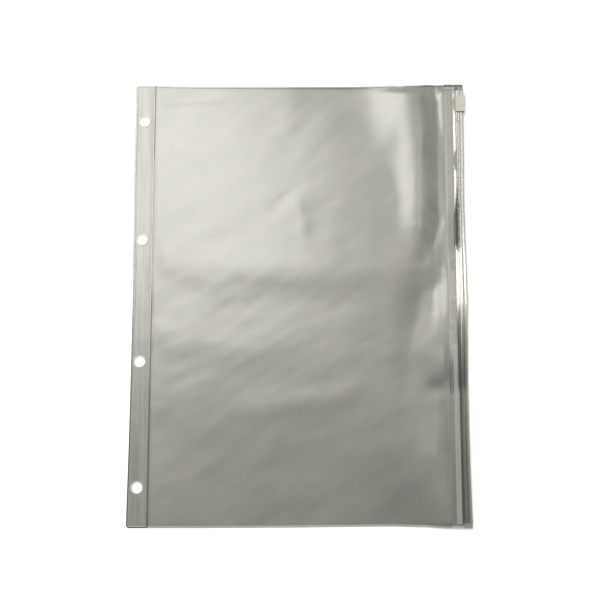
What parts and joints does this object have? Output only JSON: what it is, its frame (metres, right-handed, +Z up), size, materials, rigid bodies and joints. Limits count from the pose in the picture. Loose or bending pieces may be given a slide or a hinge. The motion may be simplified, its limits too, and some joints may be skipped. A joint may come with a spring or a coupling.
{
  "type": "zippered binder pocket",
  "caption": "Flat clear-grey soft-plastic pocket with a punched strip for binder rings on one side, a welded fold line beside it, and a press-to-close zip with a slider on the opposite side.",
  "frame": {"origin": "on the table that the pocket lies on, under the middle of its outline", "axes": "+X from the punched strip towards the zip, +Y along the page towards the end where the slider rests, +Z up out of the front film"},
  "size_m": [0.22, 0.29, 0.0054],
  "materials": {
    "film": "soft clear-grey vinyl film, glossy with a faint haze",
    "weld": "heat-welded vinyl film, smooth and thinned",
    "zip": "clear extruded vinyl, high gloss",
    "slider": "moulded translucent white-grey plastic"
  },
  "bodies": {
    "pocket": {"back_panel": "film", "front_panel": "film", "top_weld": "weld", "bottom_weld": "weld", "spine_weld": "weld", "back_tape_weld": "zip", "front_tape_weld": "zip", "back_zip_tape": "zip", "front_zip_tape": "zip", "zip_top_stop": "zip", "zip_bottom_stop": "zip"},
    "hole_strip": {"strip_front_ply": "film", "strip_back_ply": "film", "strip_edge_weld": "weld"},
    "slider": {"slider": "slider"}
  },
  "joints": [
    {"name": "strip_fold", "type": "hinge", "parent": "pocket", "child": "hole_strip", "pos_m": [-0.097, 0, 0.00022], "axis": [0, 1, 0], "range_deg": [0, 120], "stiffness_Nm_per_rad": 0.009},
    {"name": "slider_travel", "type": "slide", "parent": "pocket", "child": "slider", "axis": [0, 1, 0], "range_m": [-0.2666, 0.004]}
  ]
}
